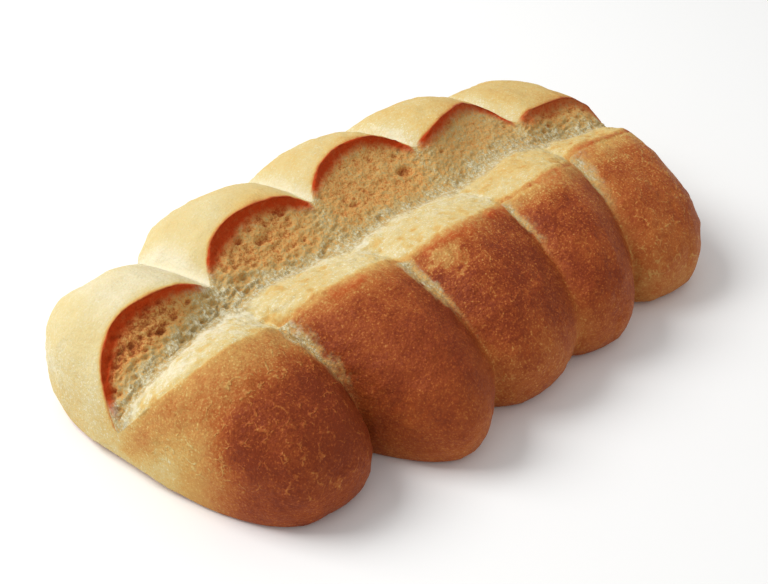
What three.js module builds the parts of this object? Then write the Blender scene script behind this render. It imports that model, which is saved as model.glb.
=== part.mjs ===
// Pull-apart bread loaf: five rolls baked together in one row and slashed once along the top.
//
// Units are millimetres. X runs along the loaf, Y across it with the crumb wall of the slash on +Y,
// and Z is up. The loaf rests on z = 0, and the origin is the middle of its base.
//
// The skin is a stack of cross-sections along X, closed by a pole at each end. A cross-section runs
// round the loaf: base, low side, browned crown, ridge, slope down into the slash, crease, crumb wall
// up to the lip, pale crown, low side. "Browned" is the -Y side and "pale" the +Y side.

import * as THREE from 'three';

// ---- Driving dimensions ----

// Places along X.
const SEAM_X = [-69.6, -20.7, 27.7, 69.8]; // where two rolls meet
const END_X = [-119.8, 115.7]; // the loaf's two ends
const END_ROLL_MIDDLE_X = [-98.6, 93.7]; // where the rounding of each end starts

// One value for each roll, at its middle.
const BROWNED_HALF_WIDTH = [62.1, 75.0, 71.9, 69.1, 63.8];
const PALE_HALF_WIDTH = [50.3, 64.1, 65.0, 65.9, 63.3];
const BROWNED_HEIGHT = [44.4, 45.0, 47.3, 48.2, 40.9];
const PALE_HEIGHT = [45.4, 47.8, 50.9, 50.0, 40.8];
const LIP_Y = [14.0, 27.9, 33.8, 27.0, 16.0];
const RIDGE_Y = [-18.6, -22.0, -26.2, -23.6, -14.6];
const SIDE_SHIFT = [-1.9, 1.2, 2.1, 0.9, 0.1];

// How far each roll leans to its far seam: a share of its rise, and its lip and ridge in millimetres.
const BROWNED_LEAN = [0.03, 0.04, 0.0, 0.02, -0.01];
const PALE_LEAN = [0.12, 0.06, 0.05, -0.03, -0.06];
const LIP_LEAN = [-2.1, -1.8, -0.6, 7.0, -0.4];
const RIDGE_LEAN = [1.9, 0.5, 0.0, 1.9, -1.7];

// One value for each seam.
const SEAM_HEIGHT_SHARE = [0.66, 0.77, 0.8, 0.79];
const SEAM_BROWNED_WIDTH_SHARE = [0.63, 0.86, 0.92, 0.83];
const SEAM_PALE_WIDTH_SHARE = [0.87, 0.97, 0.98, 0.98];
const SEAM_LIP_Y = [12.5, 19.5, 20.6, 13.2];
const SEAM_RIDGE_Y = [-13.4, -19.0, -18.2, -11.9];
const SEAM_SLANT = [-7.1, -1.3, 1.3, 7.0]; // X gained 50 mm off the middle line, by the side
const SEAM_CURVE = [0.0, -0.8, -4.7, -5.1]; // X gained 50 mm off the middle line, on both sides

// The crease at the bottom of the slash: at the first end, the four seams and the last end.
const CREASE_Y = [-4.6, 4.5, 3.9, 5.3, 4.9, -1.1];
const CREASE_DEPTH = [11.9, 12.2, 14.1, 15.6, 9.9, 6.6];

// Roundings. A power of 2 is an ellipse, and a larger one is squarer.
const WIDEST_Z = 14.1; // height of the widest line round the loaf
const BASE_TUCK = 7.7; // how far the base is drawn in under that line
const BROWNED_POWER = 2.05;
const PALE_POWER = 2.96;
const ROLL_WIDTH_POWER = 2.6;
const END_BASE_POWER = 6;

// The same for the near end and the far end, or for the near and the far half of a roll.
const END_BROWNED_POWER = [2.2, 2.5];
const END_PALE_POWER = [2.42, 1.84];
const END_HEIGHT_POWER = [0.41, 0.53];
const END_SLASH_POWER = [0.96, 0.86];
const ROLL_HEIGHT_POWER = [3.0, 2.15];

// The same for each roll's lip and ridge, in its near and its far half.
const LIP_NEAR_POWER = [2.4, 1.46, 1.5, 1.8, 1.75];
const LIP_FAR_POWER = [1.3, 2.4, 3.3, 3.3, 2.4];
const RIDGE_NEAR_POWER = [2.4, 1.7, 2.1, 2.1, 2.5];
const RIDGE_FAR_POWER = [2.3, 1.9, 1.8, 2.2, 2.4];

const SLOPE_BULGE = 0.3; // how far the slope swells above a straight line
const BOWL_SHARE = 0.72; // share of the crumb wall's rise that is a shallow bowl
const BOWL_POWER = 1.4;
const LIP_STEP_POWER = 6; // the rest of the rise, steep under the lip
const LEAST_SLASH = 1; // least width on each side of the crease
const CREASE_CLEARANCE = 0.02; // the crease stays under both cut edges by this share of its depth
const NARROW_HALF_WIDTH = 30; // where the loaf is narrower than this, the base tucks in less
const SLANT_REACH = 50; // distance from the middle line at which the seams' slant is measured

// Divisions of the skin.
const END_ROWS = 8;
const HALF_ROLL_ROWS = 6;
const BASE_STEPS = 2;
const LOW_SIDE_STEPS = 4;
const BROWNED_STEPS = 12;
const SLOPE_STEPS = 4;
const WALL_STEPS = 8;
const PALE_STEPS = 10;

// ---- Curves ----

// Half of a superellipse: 1 in the middle, 0 where |u| is 1.
function arc(u, power) {
  return Math.max(0, 1 - Math.abs(u) ** power) ** (1 / power);
}

// The same curve cut short, so that it has come down to `end` where u is 1.
function shortArc(u, end, power) {
  const reach = (1 - end ** power) ** (1 / power);
  return arc(reach * u, power);
}

// The values at the knots, joined by smooth steps, level at each knot and beyond the last ones.
function eased(x, knots, values) {
  let i = 0;
  while (i < knots.length - 2 && x > knots[i + 1]) i += 1;
  const t = THREE.MathUtils.smoothstep(x, knots[i], knots[i + 1]);
  return THREE.MathUtils.lerp(values[i], values[i + 1], t);
}

// ---- Rolls ----

const LAST_ROLL = BROWNED_HEIGHT.length - 1;
const ROLL_START_X = [END_X[0], ...SEAM_X];
const ROLL_STOP_X = [...SEAM_X, END_X[1]];
const ROLL_MIDDLE_X = ROLL_START_X.map((start, roll) => (start + ROLL_STOP_X[roll]) / 2);
ROLL_MIDDLE_X[0] = END_ROLL_MIDDLE_X[0];
ROLL_MIDDLE_X[LAST_ROLL] = END_ROLL_MIDDLE_X[1];
const CREASE_X = [END_X[0], ...SEAM_X, END_X[1]];

// Where x falls in its roll: `u` is 0 at the roll's middle and 1 at the seam or the loaf's end.
function placeInRoll(x) {
  const roll = SEAM_X.filter((seam) => seam < x).length;
  const middle = ROLL_MIDDLE_X[roll];
  const half = x > middle ? 1 : 0;
  const edge = half ? ROLL_STOP_X[roll] : ROLL_START_X[roll];
  const u = Math.min(1, (x - middle) / (edge - middle));
  const seam = roll - 1 + half;
  const atEnd = seam < 0 || seam === LAST_ROLL;
  return { roll, half, u, seam, atEnd };
}

// The sizes of the cross-section at x. Each roll narrows and sinks to its seams by short arcs, and
// the end rolls close by whole ones.
function sectionSizes(x) {
  const { roll, half, u, seam, atEnd } = placeInRoll(x);
  const share = (endShare, seamShares, power) => (
    atEnd ? endShare : shortArc(u, seamShares[seam], power)
  );
  const endHeight = (1 - u * u) ** END_HEIGHT_POWER[half];
  const endBrowned = arc(u, END_BROWNED_POWER[half]);
  const endPale = arc(u, END_PALE_POWER[half]);
  const heightShare = share(endHeight, SEAM_HEIGHT_SHARE, ROLL_HEIGHT_POWER[half]);
  const lean = (half ? u : -u) * (1 - u * u);
  const brownedRise = eased(x, ROLL_MIDDLE_X, BROWNED_HEIGHT) - WIDEST_Z;
  const paleRise = eased(x, ROLL_MIDDLE_X, PALE_HEIGHT) - WIDEST_Z;
  const browned = {
    width: eased(x, ROLL_MIDDLE_X, BROWNED_HALF_WIDTH)
      * share(endBrowned, SEAM_BROWNED_WIDTH_SHARE, ROLL_WIDTH_POWER),
    rise: brownedRise * heightShare * (1 + BROWNED_LEAN[roll] * lean),
    power: BROWNED_POWER,
    side: -1,
  };
  const pale = {
    width: eased(x, ROLL_MIDDLE_X, PALE_HALF_WIDTH)
      * share(endPale, SEAM_PALE_WIDTH_SHARE, ROLL_WIDTH_POWER),
    rise: paleRise * heightShare * (1 + PALE_LEAN[roll] * lean),
    power: PALE_POWER,
    side: 1,
  };

  // The slash. Towards the loaf's ends its parts close in on the crease and grow shallow.
  const closing = atEnd ? heightShare ** END_SLASH_POWER[half] : 1;
  const depthShare = atEnd ? heightShare : 1;
  const narrowing = atEnd ? Math.min(endBrowned, endPale) : 1;
  const creaseY = eased(x, CREASE_X, CREASE_Y) * narrowing;
  const lipPower = (half ? LIP_FAR_POWER : LIP_NEAR_POWER)[roll];
  const ridgePower = (half ? RIDGE_FAR_POWER : RIDGE_NEAR_POWER)[roll];
  const scallop = atEnd ? 1 : arc(u, lipPower);
  const ridgeScallop = atEnd ? 1 : arc(u, ridgePower);
  const scalloped = (middleY, seamY, leanY, middleShare) => (
    (atEnd ? middleY[roll] : THREE.MathUtils.lerp(seamY[seam], middleY[roll], middleShare))
    + leanY[roll] * lean
  );
  const fullRidge = creaseY - scalloped(RIDGE_Y, SEAM_RIDGE_Y, RIDGE_LEAN, ridgeScallop);
  const fullLip = scalloped(LIP_Y, SEAM_LIP_Y, LIP_LEAN, scallop) - creaseY;
  const ridgeY = creaseY - Math.max(fullRidge, LEAST_SLASH) * closing;
  const lipY = creaseY + Math.max(fullLip, LEAST_SLASH) * closing;
  const ridgeZ = crownZ(browned, ridgeY);
  const lipZ = crownZ(pale, lipY);
  const depth = eased(x, CREASE_X, CREASE_DEPTH) * depthShare;
  const uncutZ = WIDEST_Z + (brownedRise + paleRise) / 2 * depthShare;
  const creaseZ = Math.min(uncutZ - depth, Math.min(ridgeZ, lipZ) - CREASE_CLEARANCE * depth);
  const baseDrop = WIDEST_Z * (atEnd ? arc(u, END_BASE_POWER) : 1);
  return { browned, pale, ridgeY, ridgeZ, creaseY, creaseZ, lipY, lipZ, scallop, baseDrop };
}

// ---- Cross-section ----

// `count` values, at even steps from 0 up to but not reaching 1.
function steps(count, value) {
  return Array.from({ length: count }, (_, i) => value(i / count));
}

// Height of a crown above y: a quarter of a superellipse from the widest line to the top.
function crownZ(crown, y) {
  return WIDEST_Z + crown.rise * arc(y / crown.width, crown.power);
}

// The point of a crown at a turn of 0 over the middle and a quarter turn at the widest line.
function crownPoint(crown, turn) {
  const across = Math.sin(turn) ** (2 / crown.power);
  const up = Math.max(0, Math.cos(turn)) ** (2 / crown.power);
  return [crown.side * crown.width * across, WIDEST_Z + crown.rise * up];
}

// The turn at which a crown is cut by the slash.
function cutTurn(crown, cutY) {
  const across = THREE.MathUtils.clamp(crown.side * cutY / crown.width, 0, 1);
  return Math.asin(across ** (crown.power / 2));
}

// The cross-section at x, from the +Y foot along the base and round the loaf, as [y, z] points.
function crossSection(x) {
  const { browned, pale, ridgeY, ridgeZ, creaseY, creaseZ, ...rest } = sectionSizes(x);
  const { lipY, lipZ, scallop, baseDrop } = rest;
  const tuck = BASE_TUCK * Math.min(1, browned.width / NARROW_HALF_WIDTH);
  const quarter = Math.PI / 2;
  const foot = (crown) => Math.max(0, crown.width - tuck);
  const lowSidePoint = (crown, turn) => [
    crown.side * THREE.MathUtils.lerp(foot(crown), crown.width, Math.sin(turn)),
    WIDEST_Z - baseDrop * Math.cos(turn),
  ];
  const ridgeTurn = cutTurn(browned, ridgeY);
  const lipTurn = cutTurn(pale, lipY);
  const base = steps(BASE_STEPS, (t) => [
    THREE.MathUtils.lerp(foot(pale), -foot(browned), t),
    WIDEST_Z - baseDrop,
  ]);
  const brownedLowSide = steps(LOW_SIDE_STEPS, (t) => lowSidePoint(browned, quarter * t));
  const brownedCrown = steps(BROWNED_STEPS, (t) => (
    crownPoint(browned, THREE.MathUtils.lerp(quarter, ridgeTurn, t))
  ));
  const slope = steps(SLOPE_STEPS, (t) => [
    THREE.MathUtils.lerp(ridgeY, creaseY, t),
    creaseZ + (ridgeZ - creaseZ) * (1 - t) * (1 + SLOPE_BULGE * t),
  ]);
  const bowl = (t) => BOWL_SHARE * t ** BOWL_POWER + (1 - BOWL_SHARE) * t ** LIP_STEP_POWER;
  const wall = steps(WALL_STEPS, (t) => [
    THREE.MathUtils.lerp(creaseY, lipY, t),
    THREE.MathUtils.lerp(creaseZ, lipZ, THREE.MathUtils.lerp(t, bowl(t), scallop)),
  ]);
  const paleCrown = steps(PALE_STEPS, (t) => (
    crownPoint(pale, THREE.MathUtils.lerp(lipTurn, quarter, t))
  ));
  const paleLowSide = steps(LOW_SIDE_STEPS, (t) => lowSidePoint(pale, quarter * (1 - t)));
  return [base, brownedLowSide, brownedCrown, slope, wall, paleCrown, paleLowSide].flat();
}

// Slants and curves the seams, and shifts the rolls a little from side to side.
function settle(x, y, z) {
  const across = y / SLANT_REACH;
  const slant = eased(x, SEAM_X, SEAM_SLANT) * across;
  const curve = eased(x, SEAM_X, SEAM_CURVE) * across ** 2;
  const shift = eased(x, ROLL_MIDDLE_X, SIDE_SHIFT);
  return new THREE.Vector3(x + slant + curve, y + shift, z);
}

// ---- Skin ----

// Places of the cross-sections, closer together towards the seams and the ends.
function rowPlaces() {
  const places = [];
  const quarter = Math.PI / 2;
  ROLL_MIDDLE_X.forEach((middle, roll) => {
    const before = roll === 0 ? END_ROWS : HALF_ROLL_ROWS;
    const after = roll === LAST_ROLL ? END_ROWS : HALF_ROLL_ROWS;
    const toStart = (i) => THREE.MathUtils.lerp(middle, ROLL_START_X[roll], Math.sin(quarter * i / before));
    const toStop = (i) => THREE.MathUtils.lerp(middle, ROLL_STOP_X[roll], Math.sin(quarter * i / after));
    for (let i = before - 1; i > 0; i -= 1) places.push(toStart(i));
    for (let i = 0; i <= after; i += 1) places.push(toStop(i));
  });
  places.pop();
  return places;
}

// The closed skin: a ring of points at each place, joined ring to ring, with a pole at each end.
function loafGeometry() {
  const rings = rowPlaces().map((x) => crossSection(x).map(([y, z]) => settle(x, y, z)));
  const around = rings[0].length;
  const firstPole = settle(END_X[0], 0, WIDEST_Z);
  const lastPole = settle(END_X[1], 0, WIDEST_Z);
  const firstPoleIndex = rings.length * around;
  const lastPoleIndex = firstPoleIndex + 1;
  const lastRing = (rings.length - 1) * around;
  const triangles = [];
  for (let j = 0; j < around; j += 1) {
    const next = (j + 1) % around;
    triangles.push(firstPoleIndex, j, next);
    triangles.push(lastPoleIndex, lastRing + next, lastRing + j);
    for (let i = 0; i < lastRing; i += around) {
      triangles.push(i + j, i + around + next, i + next);
      triangles.push(i + j, i + around + j, i + around + next);
    }
  }
  const geometry = new THREE.BufferGeometry();
  geometry.setFromPoints([...rings.flat(), firstPole, lastPole]);
  geometry.setIndex(triangles);

  // The middle of the base becomes the origin.
  geometry.computeBoundingBox();
  const middle = geometry.boundingBox.getCenter(new THREE.Vector3());
  geometry.translate(-middle.x, -middle.y, -geometry.boundingBox.min.z);
  geometry.computeVertexNormals();
  return geometry;
}

// ---- Loaf ----

const crust = new THREE.MeshStandardMaterial({ color: 0xc98a4b, roughness: 0.75, metalness: 0 });
const loaf = new THREE.Mesh(loafGeometry(), crust);
loaf.name = 'loaf';

const bread = new THREE.Group();
bread.add(loaf);

export default bread;
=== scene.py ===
"""A pull-apart loaf: five rolls baked together in a row and slashed once along the top.

The loaf is one closed skin, worked out as a grid of cross-sections along X. Lengths are in
millimetres up to the last step, which gives the mesh in metres. The browned side is -Y, and the
pale side, with the crumb wall of the slash, is +Y.
"""

import math

import bpy
import numpy as np
from mathutils import Matrix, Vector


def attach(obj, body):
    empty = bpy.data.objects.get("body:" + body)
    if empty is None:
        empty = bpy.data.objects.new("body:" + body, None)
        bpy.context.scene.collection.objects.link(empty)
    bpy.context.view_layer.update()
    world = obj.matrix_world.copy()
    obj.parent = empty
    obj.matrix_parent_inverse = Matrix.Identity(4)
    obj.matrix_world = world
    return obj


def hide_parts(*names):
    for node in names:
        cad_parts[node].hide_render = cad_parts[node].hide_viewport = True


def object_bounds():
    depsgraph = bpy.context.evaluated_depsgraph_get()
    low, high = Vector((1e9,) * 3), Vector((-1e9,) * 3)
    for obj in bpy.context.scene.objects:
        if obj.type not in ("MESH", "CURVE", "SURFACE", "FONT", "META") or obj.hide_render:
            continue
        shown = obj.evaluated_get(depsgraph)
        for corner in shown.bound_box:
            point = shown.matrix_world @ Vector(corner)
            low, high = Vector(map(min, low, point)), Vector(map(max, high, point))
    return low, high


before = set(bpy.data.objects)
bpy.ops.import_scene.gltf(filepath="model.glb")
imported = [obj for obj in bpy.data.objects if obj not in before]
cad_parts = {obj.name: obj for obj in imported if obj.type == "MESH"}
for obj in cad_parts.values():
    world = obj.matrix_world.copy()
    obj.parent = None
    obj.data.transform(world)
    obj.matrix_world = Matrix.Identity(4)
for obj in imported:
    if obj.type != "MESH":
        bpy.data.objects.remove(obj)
cad_box = [list(corner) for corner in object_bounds()]

MM = 0.001

# ---- The loaf's sizes, in millimetres ----

# Places along X.
SEAM_X = [-69.6, -20.7, 27.7, 69.8]
END_X = [-119.8, 115.7]
END_ROLL_MIDDLE_X = [-98.6, 93.7]

# One value for each roll, at its middle.
BROWNED_HALF_WIDTH = [62.1, 75.0, 71.9, 69.1, 63.8]
PALE_HALF_WIDTH = [50.3, 64.1, 65.0, 65.9, 63.3]
BROWNED_HEIGHT = [44.4, 45.0, 47.3, 48.2, 40.9]
PALE_HEIGHT = [45.4, 47.8, 50.9, 50.0, 40.8]
LIP_Y = [14.0, 27.9, 33.8, 27.0, 16.0]
RIDGE_Y = [-18.6, -22.0, -26.2, -23.6, -14.6]
SIDE_SHIFT = [-1.9, 1.2, 2.1, 0.9, 0.1]

# How far each roll leans towards its far seam: a share of its rise, and lip and ridge in millimetres.
BROWNED_LEAN = [0.03, 0.04, 0.0, 0.02, -0.01]
PALE_LEAN = [0.12, 0.06, 0.05, -0.03, -0.06]
LIP_LEAN = [-2.1, -1.8, -0.6, 7.0, -0.4]
RIDGE_LEAN = [1.9, 0.5, 0.0, 1.9, -1.7]

# One value for each seam.
SEAM_HEIGHT_SHARE = [0.66, 0.77, 0.8, 0.79]
SEAM_BROWNED_WIDTH_SHARE = [0.63, 0.86, 0.92, 0.83]
SEAM_PALE_WIDTH_SHARE = [0.87, 0.97, 0.98, 0.98]
SEAM_LIP_Y = [12.5, 19.5, 20.6, 13.2]
SEAM_RIDGE_Y = [-13.4, -19.0, -18.2, -11.9]
SEAM_SLANT = [-7.1, -1.3, 1.3, 7.0]
SEAM_CURVE = [0.0, -0.8, -4.7, -5.1]

# The crease at the bottom of the slash: at the first end, the four seams and the last end.
CREASE_Y = [-4.6, 4.5, 3.9, 5.3, 4.9, -1.1]
CREASE_DEPTH = [11.9, 12.2, 14.1, 15.6, 9.9, 6.6]

# Roundings. A power of 2 is an ellipse, and a larger one is squarer.
WIDEST_Z = 14.1
BASE_TUCK = 7.7
BROWNED_POWER = 2.05
PALE_POWER = 2.96
ROLL_WIDTH_POWER = 2.6
END_BROWNED_POWER = [2.2, 2.5]
END_PALE_POWER = [2.42, 1.84]
END_HEIGHT_POWER = [0.41, 0.53]
END_SLASH_POWER = [0.96, 0.86]
END_BASE_POWER = 6

# The same for the near and the far half of a roll, and of each roll in turn.
ROLL_HEIGHT_POWER = [3.0, 2.15]
LIP_NEAR_POWER = [2.4, 1.46, 1.5, 1.8, 1.75]
LIP_FAR_POWER = [1.3, 2.4, 3.3, 3.3, 2.4]
RIDGE_NEAR_POWER = [2.4, 1.7, 2.1, 2.1, 2.5]
RIDGE_FAR_POWER = [2.3, 1.9, 1.8, 2.2, 2.4]

SLOPE_BULGE = 0.3
BOWL_SHARE = 0.72
BOWL_POWER = 1.4
LIP_STEP_POWER = 6
LIP_UNDERCUT = 1.5
UNDERCUT_POWER = 8
UNDERCUT_PEAK = 23  # brings the highest value of up^8 * (1 - up) to 1
LEAST_SLASH = 1.0
CREASE_CLEARANCE = 0.02
NARROW_HALF_WIDTH = 30.0
SLANT_REACH = 50.0

# Divisions of the skin.
END_ROWS = 58
HALF_ROLL_ROWS = 43
SPREAD = 0.5  # 0 crowds the rows towards the seams, and 1 spaces them evenly
PALE_CROWDING = 1.35  # above 1, the steps of the pale crown crowd towards the lip
STEPS = {
    "base": 8,
    "browned_low": 16,
    "browned": 62,
    "slope": 34,
    "wall": 50,
    "pale": 36,
    "pale_low": 10,
}

LAST_ROLL = len(BROWNED_HEIGHT) - 1
ROLL_START_X = np.array([END_X[0], *SEAM_X])
ROLL_STOP_X = np.array([*SEAM_X, END_X[1]])
ROLL_MIDDLE_X = (ROLL_START_X + ROLL_STOP_X) / 2
ROLL_MIDDLE_X[0] = END_ROLL_MIDDLE_X[0]
ROLL_MIDDLE_X[LAST_ROLL] = END_ROLL_MIDDLE_X[1]
CREASE_X = np.array([END_X[0], *SEAM_X, END_X[1]])


# ---- Curves ----


def arc(u, power):
    """Half of a superellipse: (1 - |u|^power)^(1/power), 1 in the middle and 0 where |u| is 1."""
    return np.clip(1 - np.abs(u) ** power, 0, 1) ** (1 / power)


def short_arc(u, end, power):
    """The same curve cut short, so that it has come down to `end` where u is 1."""
    reach = (1 - end**power) ** (1 / power)
    return arc(reach * u, power)


def smooth(value, low, high):
    """The smooth step 3t^2 - 2t^3, with t running from 0 at `low` to 1 at `high`."""
    t = np.clip((value - low) / (high - low), 0, 1)
    return t * t * (3 - 2 * t)


def eased(x, knots, values):
    """The values at the knots joined by smooth steps, level at each knot."""
    knots, values = np.asarray(knots, float), np.asarray(values, float)
    i = np.clip(np.searchsorted(knots, x) - 1, 0, len(knots) - 2)
    t = smooth(x, knots[i], knots[i + 1])
    return mixed(values[i], values[i + 1], t)


def mixed(a, b, t):
    """a where t is 0 and b where t is 1, with straight lines between."""
    return a * (1 - t) + b * t


def bump(distance, width):
    """The bell exp(-(distance / width)^2)."""
    return np.exp(-((distance / width) ** 2))


# ---- Noise ----

DENT_SPREAD = 0.45  # how far a dent lies from the middle of its cell, as a share of the cell
DENT_EDGE = (0.55, 0.05)


def lattice(i, j, k, seed):
    """A number from -1 to 1 for each corner of a cubic grid, from a hash of its whole numbers."""
    h = (i * 73856093) ^ (j * 19349663) ^ (k * 83492791) ^ (seed * 2654435761)
    h = (h ^ (h >> 13)) * 1274126177
    h = (h ^ (h >> 16)) & 0xFFFFFF
    return h / float(0x7FFFFF) - 1.0


def noise(place, size, seed):
    """Value noise: corner numbers of a grid of cells of the given size, joined smoothly between."""
    q = place / size
    cell = np.floor(q).astype(np.int64)
    t = q - cell
    t = t * t * t * (t * (t * 6 - 15) + 10)
    total = 0.0
    for corner in np.ndindex(2, 2, 2):
        share = np.where(corner, t, 1 - t).prod(axis=-1)
        i, j, k = np.moveaxis(cell + corner, -1, 0)
        total = total + lattice(i, j, k, seed) * share
    return total


def layers(place, size, seed):
    """Noise of the given size plus a finer one, half its size and half as strong."""
    return noise(place, size, seed) + 0.5 * noise(place, size / 2, seed + 1)


def dents(place, size, seed):
    """1 in round dents scattered one to a cell of a cubic grid, falling smoothly to 0 between them."""
    q = place / size
    cell = np.floor(q).astype(np.int64)
    nearest = np.full(q.shape[:-1], np.inf)
    for step in np.ndindex(3, 3, 3):
        near = cell + step - 1
        i, j, k = np.moveaxis(near, -1, 0)
        shift = np.stack([lattice(i, j, k, seed + axis) for axis in range(3)], axis=-1)
        away = q - near - 0.5 - DENT_SPREAD * shift
        nearest = np.minimum(nearest, (away**2).sum(axis=-1))
    return smooth(np.sqrt(nearest), *DENT_EDGE)


# ---- Rolls ----


def row_places():
    """Places of the cross-sections: in each half roll, a mix of even steps and sine steps."""
    places = []
    for roll, middle in enumerate(ROLL_MIDDLE_X):
        before = END_ROWS if roll == 0 else HALF_ROLL_ROWS
        after = END_ROWS if roll == LAST_ROLL else HALF_ROLL_ROWS
        edges = ((ROLL_START_X[roll], before, True), (ROLL_STOP_X[roll], after, False))
        for edge, count, first in edges:
            t = np.arange(count + 1) / count
            at_end = (first and roll == 0) or (not first and roll == LAST_ROLL)
            spread = 0.0 if at_end else SPREAD
            t = spread * t + (1 - spread) * np.sin(t * math.pi / 2)
            x = middle + (edge - middle) * t
            places.append(x[1:-1][::-1] if first else x)
    return np.concatenate(places)[:-1]


def crown_z(y, crown):
    """Height of a crown above y: widest_z + rise * (1 - (y / width)^power)^(1 / power)."""
    return WIDEST_Z + crown["rise"] * arc(np.clip(y / crown["width"], -1, 1), crown["power"])


def section_sizes(x):
    """The sizes of the cross-sections at x. Each roll narrows and sinks to its seams by short arcs."""
    roll = np.searchsorted(SEAM_X, x)
    middle = ROLL_MIDDLE_X[roll]
    half = (x > middle).astype(int)
    edge = np.where(half, ROLL_STOP_X[roll], ROLL_START_X[roll])
    u = np.clip((x - middle) / (edge - middle), 0, 1)
    seam = roll - 1 + half
    at_end = (seam < 0) | (seam == LAST_ROLL)
    seam = np.clip(seam, 0, LAST_ROLL - 1)
    lean = np.where(half, u, -u) * (1 - u * u)

    def share(end_share, seam_shares, power):
        return np.where(at_end, end_share, short_arc(u, np.array(seam_shares)[seam], power))

    end_height = (1 - u * u) ** np.array(END_HEIGHT_POWER)[half]
    end_browned = arc(u, np.array(END_BROWNED_POWER)[half])
    end_pale = arc(u, np.array(END_PALE_POWER)[half])
    height_share = share(end_height, SEAM_HEIGHT_SHARE, np.array(ROLL_HEIGHT_POWER)[half])
    browned_rise = eased(x, ROLL_MIDDLE_X, BROWNED_HEIGHT) - WIDEST_Z
    pale_rise = eased(x, ROLL_MIDDLE_X, PALE_HEIGHT) - WIDEST_Z
    browned_share = share(end_browned, SEAM_BROWNED_WIDTH_SHARE, ROLL_WIDTH_POWER)
    pale_share = share(end_pale, SEAM_PALE_WIDTH_SHARE, ROLL_WIDTH_POWER)
    browned = {
        "width": eased(x, ROLL_MIDDLE_X, BROWNED_HALF_WIDTH) * browned_share,
        "rise": browned_rise * height_share * (1 + np.array(BROWNED_LEAN)[roll] * lean),
        "power": BROWNED_POWER,
        "side": -1,
    }
    pale = {
        "width": eased(x, ROLL_MIDDLE_X, PALE_HALF_WIDTH) * pale_share,
        "rise": pale_rise * height_share * (1 + np.array(PALE_LEAN)[roll] * lean),
        "power": PALE_POWER,
        "side": 1,
    }

    # The slash. Towards the loaf's ends its parts close in on the crease and grow shallow.
    closing = np.where(at_end, height_share ** np.array(END_SLASH_POWER)[half], 1)
    depth_share = np.where(at_end, height_share, 1)
    narrowing = np.where(at_end, np.minimum(end_browned, end_pale), 1)
    crease_y = eased(x, CREASE_X, CREASE_Y) * narrowing

    def scalloped(middle_y, seam_y, near_power, far_power, skew):
        power = np.where(half, np.array(far_power)[roll], np.array(near_power)[roll])
        share = np.where(at_end, 1, arc(u, power))
        y = mixed(np.array(seam_y)[seam], np.array(middle_y)[roll], share)
        return y + np.array(skew)[roll] * lean, share

    ridge, _ = scalloped(RIDGE_Y, SEAM_RIDGE_Y, RIDGE_NEAR_POWER, RIDGE_FAR_POWER, RIDGE_LEAN)
    lip, scallop = scalloped(LIP_Y, SEAM_LIP_Y, LIP_NEAR_POWER, LIP_FAR_POWER, LIP_LEAN)
    full_ridge = crease_y - ridge
    full_lip = lip - crease_y
    ridge_y = crease_y - np.maximum(full_ridge, LEAST_SLASH) * closing
    lip_y = crease_y + np.maximum(full_lip, LEAST_SLASH) * closing
    ridge_z = crown_z(ridge_y, browned)
    lip_z = crown_z(lip_y, pale)
    depth = eased(x, CREASE_X, CREASE_DEPTH) * depth_share
    uncut_z = WIDEST_Z + (browned_rise + pale_rise) / 2 * depth_share
    crease_z = np.minimum(uncut_z - depth, np.minimum(ridge_z, lip_z) - CREASE_CLEARANCE * depth)
    base_drop = WIDEST_Z * np.where(at_end, arc(u, END_BASE_POWER), 1)
    return {
        "roll": roll,
        "u": u,
        "at_end": at_end,
        "x": x,
        "browned": browned,
        "pale": pale,
        "ridge": (ridge_y, ridge_z),
        "crease": (crease_y, crease_z),
        "lip": (lip_y, lip_z),
        "scallop": scallop,
        "closing": closing,
        "base_drop": base_drop,
    }


def cut_turn(crown, cut_y):
    """The turn at which the slash cuts a crown, from 0 on top to a quarter turn at its side."""
    across = np.clip(crown["side"] * cut_y / crown["width"], 0, 1)
    return np.arcsin(across ** (crown["power"] / 2))


def crown_points(crown, turn):
    """y = width * sin(turn)^(2 / power), z = widest_z + rise * cos(turn)^(2 / power)."""
    across = np.clip(np.sin(turn), 0, 1) ** (2 / crown["power"])
    up = np.clip(np.cos(turn), 0, 1) ** (2 / crown["power"])
    return crown["side"] * column(crown["width"]) * across, WIDEST_Z + column(crown["rise"]) * up


def column(values):
    """One value for each row, ready to meet one value for each step."""
    return np.asarray(values)[:, None]


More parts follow.
